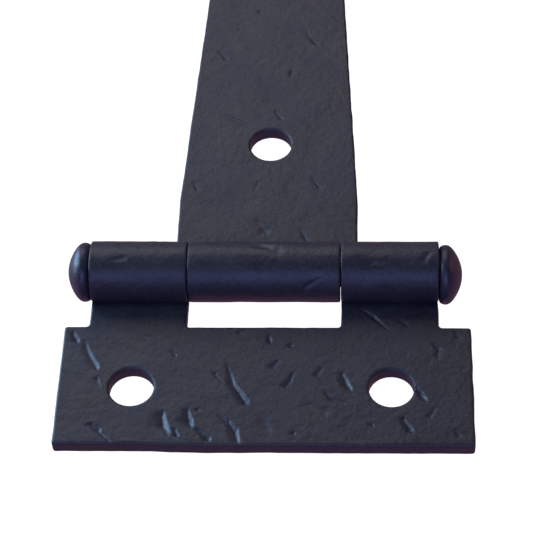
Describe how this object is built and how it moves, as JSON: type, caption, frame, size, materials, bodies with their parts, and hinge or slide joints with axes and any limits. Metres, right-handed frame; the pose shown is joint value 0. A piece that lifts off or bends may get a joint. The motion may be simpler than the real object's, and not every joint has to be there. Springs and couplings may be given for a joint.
{
  "type": "tee hinge",
  "caption": "Surface tee hinge with a short frame plate, a long tapered spear-tip strap and a domed rivet pin through rolled knuckles, finished in hammered black.",
  "frame": {"origin": "on the plane both leaves lie on, straight under the middle of the hinge pin", "axes": "+X along the pin, +Y along the strap to its tip, +Z out of the door face"},
  "size_m": [0.065, 0.1838, 0.01],
  "materials": {
    "hammered_black_leaf": "satin black powder coat over hammered sheet steel",
    "black_pin": "satin black powder coat over a smooth steel rivet"
  },
  "bodies": {
    "frame": {"frame_leaf": "hammered_black_leaf"},
    "strap": {"strap_leaf": "hammered_black_leaf"},
    "pin": {"hinge_pin": "black_pin"}
  },
  "joints": [
    {"name": "strap_swing", "type": "hinge", "parent": "frame", "child": "strap", "pos_m": [0, 0, 0.00498], "axis": [1, 0, 0], "range_deg": [0, 180]},
    {"name": "pin_spin", "type": "hinge", "parent": "frame", "child": "pin", "pos_m": [0, 0, 0.00498], "axis": [1, 0, 0], "continuous": true}
  ]
}
